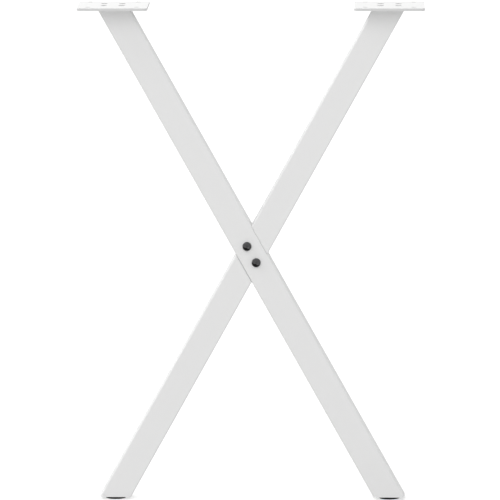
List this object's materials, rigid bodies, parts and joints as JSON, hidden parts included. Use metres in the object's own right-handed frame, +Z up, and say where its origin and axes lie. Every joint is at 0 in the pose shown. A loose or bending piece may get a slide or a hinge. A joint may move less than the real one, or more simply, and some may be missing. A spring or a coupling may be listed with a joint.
{
  "type": "x shaped table leg",
  "caption": "X-shaped table leg of crossed square steel tubes with a bolted lap, plates to screw under a table top, and levelling feet.",
  "frame": {"origin": "on the floor, midway between the two feet, under the crossing", "axes": "+Z up, +X from the left foot to the right foot, -Y to the front, where the bolt heads are"},
  "size_m": [0.502, 0.102, 0.725],
  "materials": {
    "powder_coat": "satin white powder coat with a fine texture",
    "black_bolt": "black oxide, slightly oiled",
    "zinc_steel": "bright zinc plate",
    "black_plastic": "moulded, fine matt grain"
  },
  "bodies": {
    "frame": {"front_bar": "powder_coat", "front_lap_plate": "powder_coat", "rear_bar": "powder_coat", "rear_lap_plate": "powder_coat", "upper_cross_bolt": "black_bolt", "upper_cross_sleeve": "zinc_steel", "upper_cross_nut": "zinc_steel", "lower_cross_bolt": "black_bolt", "lower_cross_sleeve": "zinc_steel", "lower_cross_nut": "zinc_steel", "left_top_plate": "powder_coat", "left_end_plate": "powder_coat", "left_foot_nut": "zinc_steel", "right_top_plate": "powder_coat", "right_end_plate": "powder_coat", "right_foot_nut": "zinc_steel"},
    "left_foot": {"left_foot_stud": "zinc_steel", "left_foot_pad": "black_plastic"},
    "right_foot": {"right_foot_stud": "zinc_steel", "right_foot_pad": "black_plastic"}
  },
  "joints": [
    {"name": "left_foot_level", "type": "slide", "parent": "frame", "child": "left_foot", "axis": [0, 0, -1], "range_m": [0, 0.01]},
    {"name": "right_foot_level", "type": "slide", "parent": "frame", "child": "right_foot", "axis": [0, 0, -1], "range_m": [0, 0.01]}
  ]
}
